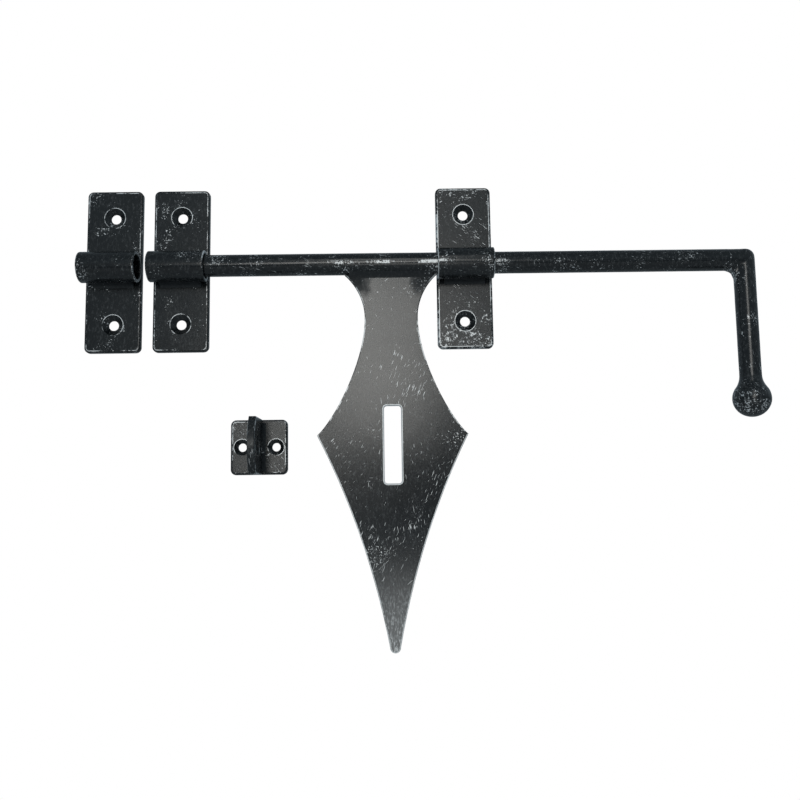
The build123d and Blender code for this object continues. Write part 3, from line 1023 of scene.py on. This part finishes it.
# %% World
scene = bpy.context.scene
scene.view_settings.view_transform = "Standard"
world = bpy.data.worlds.new("studio")
scene.world = world
world.use_nodes = True
sky = world.node_tree
background = sky.nodes["Background"]
direction = node(sky, "ShaderNodeTexCoord").outputs["Generated"]
height = node(sky, "ShaderNodeSeparateXYZ", {0: direction}).outputs["Z"]
span = {"Value": height, "From Min": -1.0, "From Max": 1.0}
lift = node(sky, "ShaderNodeMapRange", span).outputs["Result"]
ramp = node(sky, "ShaderNodeValToRGB", {"Fac": lift})
low_stops = ((0.0, 0.05), (0.40, 0.12), (0.445, 0.36), (0.479, 0.42), (0.488, 0.06))
high_stops = ((0.53, 0.22), (0.66, 0.36), (0.80, 0.30), (1.0, 0.2))
stops = low_stops + high_stops
for _ in stops[2:]:
    ramp.color_ramp.elements.new(0.5)
for element, (position, value) in zip(ramp.color_ramp.elements, stops):
    element.position = position
    element.color = (0.82 * value, value, 1.12 * value, 1)
seen = node(sky, "ShaderNodeLightPath").outputs["Is Camera Ray"]
shown = node(sky, "ShaderNodeMix", {0: seen, 6: ramp.outputs["Color"], 7: (1, 1, 1, 1)}, data_type="RGBA")
sky.links.new(shown.outputs[2], background.inputs["Color"])
print("the ramp has", len(ramp.color_ramp.elements), "greys")

# %% [markdown]
# ## Softboxes
# The leaf and the plates are flat and face the viewer, so each mirrors one part of the wall behind the
# viewer. The key softbox hangs there a little above the bolt and fills the leaf's neck, and the arm beside
# it carries the light on to the leaf's left side. Side lights the foot of the right guide, low left lights
# the staple, and a very dim low middle lifts the leaf's left flank. High draws the line along the top of
# the round parts, and the fill from below lights the leaf's point. Keeper and left guide get none, so they
# stay dark. A lamp's power follows from its size and from how bright it should look in a mirror.

# %% Softboxes
def softbox(name, place, target, width, height, radiance):
    """A rectangular light that faces a point."""
    light = bpy.data.lights.new(name, "AREA")
    light.shape = "RECTANGLE"
    light.size = width
    light.size_y = height
    light.energy = radiance * math.pi * width * height
    light.color = (1.0, 0.99, 0.95)
    lamp = bpy.data.objects.new(name, light)
    bpy.context.scene.collection.objects.link(lamp)
    facing = (Vector(target) - Vector(place)).to_track_quat("-Z", "Y")
    lamp.matrix_world = Matrix.Translation(place) @ facing.to_matrix().to_4x4()
    lamp.visible_camera = False
    print(name, "softbox:", round(light.energy, 2), "W")


LATCH = (0.117, 0, 0)
softbox("key", (0.075, -2.5, 0.405), LATCH, width=0.36, height=0.67, radiance=4.9)
softbox("arm", (-0.190, -2.5, 0.420), LATCH, width=0.17, height=0.46, radiance=4.2)
softbox("high", (0.100, -2.3, 1.50), LATCH, width=0.50, height=0.90, radiance=2.0)
softbox("side", (0.430, -2.5, 0.345), LATCH, width=0.24, height=0.24, radiance=3.2)
softbox("low left", (-0.330, -2.5, 0.045), LATCH, width=0.28, height=0.26, radiance=5.6)
softbox("low middle", (-0.040, -2.5, -0.090), LATCH, width=0.18, height=0.30, radiance=0.4)
softbox("fill below", (0.140, -2.0, -0.575), (0.117, 0, -0.1), width=0.34, height=0.44, radiance=2.1)

# %% [markdown]
# ## Floor
# A pale disc a metre below the bolt closes the studio. It is matt to the object's reflections. To the
# camera it glows plain white, like the world behind it, so that no horizon shows.

# %% Floor
bm = bmesh.new()
centre = Matrix.Translation((0.12, 0, -1.0))
bmesh.ops.create_circle(bm, cap_ends=True, radius=3.0, segments=64, matrix=centre)
floor = as_object(bm, "floor")
pale = bpy.data.materials.new("pale floor")
pale.use_nodes = True
tree = pale.node_tree
matt = node(tree, "ShaderNodeBsdfDiffuse", {"Color": (0.8, 0.8, 0.8, 1)})
glow = node(tree, "ShaderNodeEmission", {"Color": (1, 1, 1, 1), "Strength": 1.0})
seen = node(tree, "ShaderNodeLightPath").outputs["Is Camera Ray"]
choice = node(tree, "ShaderNodeMixShader", {0: seen, 1: matt.outputs[0], 2: glow.outputs[0]})
tree.links.new(choice.outputs[0], tree.nodes["Material Output"].inputs["Surface"])
floor.data.materials.append(pale)
print("the floor lies at z =", floor.data.vertices[0].co.z, "m")
